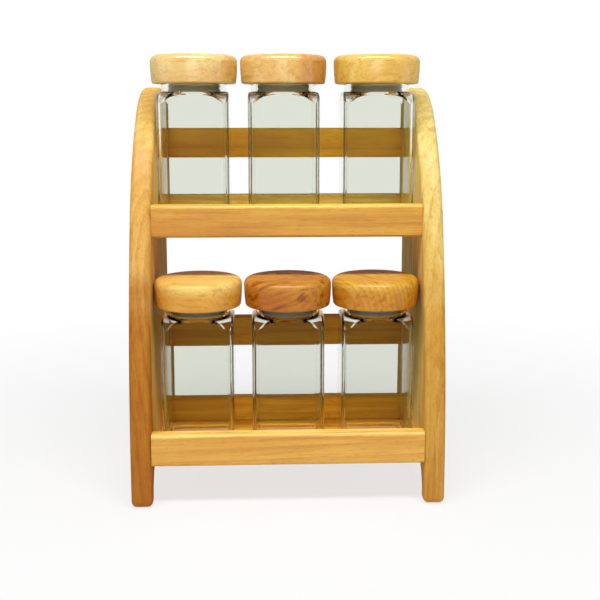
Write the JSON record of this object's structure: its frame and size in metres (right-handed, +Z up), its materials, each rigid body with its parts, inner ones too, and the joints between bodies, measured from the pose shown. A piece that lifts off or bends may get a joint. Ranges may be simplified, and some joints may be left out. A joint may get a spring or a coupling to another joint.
{
  "type": "spice rack with jars",
  "caption": "Wooden tabletop spice rack on two tiers, with curved side panels, holding square glass jars with round wooden plug lids.",
  "frame": {"origin": "floor level under the middle of the rack, midway between the outer faces of the side panels and midway from front to back", "axes": "+X towards the right of someone who faces the rack, +Y towards the back of the rack, +Z up"},
  "size_m": [0.254, 0.15, 0.3627],
  "materials": {
    "panel_wood": "satin clear lacquer over light hardwood",
    "rack_wood": "satin clear lacquer over light hardwood",
    "dowel_wood": "bare beech",
    "glass": "clear pressed glass",
    "upper_lid_wood": "satin turned wood, light straw colour",
    "lower_lid_wood": "satin turned wood, deeper orange colour",
    "silicone": "translucent white silicone"
  },
  "bodies": {
    "rack": {"side_panel_left": "panel_wood", "side_panel_right": "panel_wood", "lower_front_rail": "rack_wood", "upper_front_rail": "rack_wood", "lower_shelf_back_rail": "rack_wood", "upper_shelf_back_rail": "rack_wood", "lower_back_stay": "rack_wood", "upper_back_stay": "rack_wood", "lower_shelf_board": "rack_wood", "upper_shelf_board": "rack_wood", "lower_front_rail_dowels": "dowel_wood", "upper_front_rail_dowels": "dowel_wood", "lower_shelf_back_rail_dowels": "dowel_wood", "upper_shelf_back_rail_dowels": "dowel_wood", "lower_back_stay_dowels": "dowel_wood", "upper_back_stay_dowels": "dowel_wood"},
    "lower_left_jar": {"lower_left_jar": "glass"},
    "lower_left_lid": {"lower_left_lid": "lower_lid_wood", "lower_left_lid_seal": "silicone"},
    "lower_middle_jar": {"lower_middle_jar": "glass"},
    "lower_middle_lid": {"lower_middle_lid": "lower_lid_wood", "lower_middle_lid_seal": "silicone"},
    "lower_right_jar": {"lower_right_jar": "glass"},
    "lower_right_lid": {"lower_right_lid": "lower_lid_wood", "lower_right_lid_seal": "silicone"},
    "upper_left_jar": {"upper_left_jar": "glass"},
    "upper_left_lid": {"upper_left_lid": "upper_lid_wood", "upper_left_lid_seal": "silicone"},
    "upper_middle_jar": {"upper_middle_jar": "glass"},
    "upper_middle_lid": {"upper_middle_lid": "upper_lid_wood", "upper_middle_lid_seal": "silicone"},
    "upper_right_jar": {"upper_right_jar": "glass"},
    "upper_right_lid": {"upper_right_lid": "upper_lid_wood", "upper_right_lid_seal": "silicone"}
  },
  "joints": [
    {"name": "lower_left_jar_lift", "type": "slide", "parent": "rack", "child": "lower_left_jar", "axis": [0, 0, 1], "range_m": [0, 0.0245]},
    {"name": "lower_left_lid_lift", "type": "slide", "parent": "lower_left_jar", "child": "lower_left_lid", "axis": [0, 0, 1], "range_m": [0, 0.0085]},
    {"name": "lower_middle_jar_lift", "type": "slide", "parent": "rack", "child": "lower_middle_jar", "axis": [0, 0, 1], "range_m": [0, 0.0245]},
    {"name": "lower_middle_lid_lift", "type": "slide", "parent": "lower_middle_jar", "child": "lower_middle_lid", "axis": [0, 0, 1], "range_m": [0, 0.0085]},
    {"name": "lower_right_jar_lift", "type": "slide", "parent": "rack", "child": "lower_right_jar", "axis": [0, 0, 1], "range_m": [0, 0.0245]},
    {"name": "lower_right_lid_lift", "type": "slide", "parent": "lower_right_jar", "child": "lower_right_lid", "axis": [0, 0, 1], "range_m": [0, 0.0085]},
    {"name": "upper_left_jar_lift", "type": "slide", "parent": "rack", "child": "upper_left_jar", "axis": [0, 0, 1], "range_m": [0, 0.125]},
    {"name": "upper_left_lid_lift", "type": "slide", "parent": "upper_left_jar", "child": "upper_left_lid", "axis": [0, 0, 1], "range_m": [0, 0.03]},
    {"name": "upper_middle_jar_lift", "type": "slide", "parent": "rack", "child": "upper_middle_jar", "axis": [0, 0, 1], "range_m": [0, 0.125]},
    {"name": "upper_middle_lid_lift", "type": "slide", "parent": "upper_middle_jar", "child": "upper_middle_lid", "axis": [0, 0, 1], "range_m": [0, 0.03]},
    {"name": "upper_right_jar_lift", "type": "slide", "parent": "rack", "child": "upper_right_jar", "axis": [0, 0, 1], "range_m": [0, 0.125]},
    {"name": "upper_right_lid_lift", "type": "slide", "parent": "upper_right_jar", "child": "upper_right_lid", "axis": [0, 0, 1], "range_m": [0, 0.03]}
  ]
}
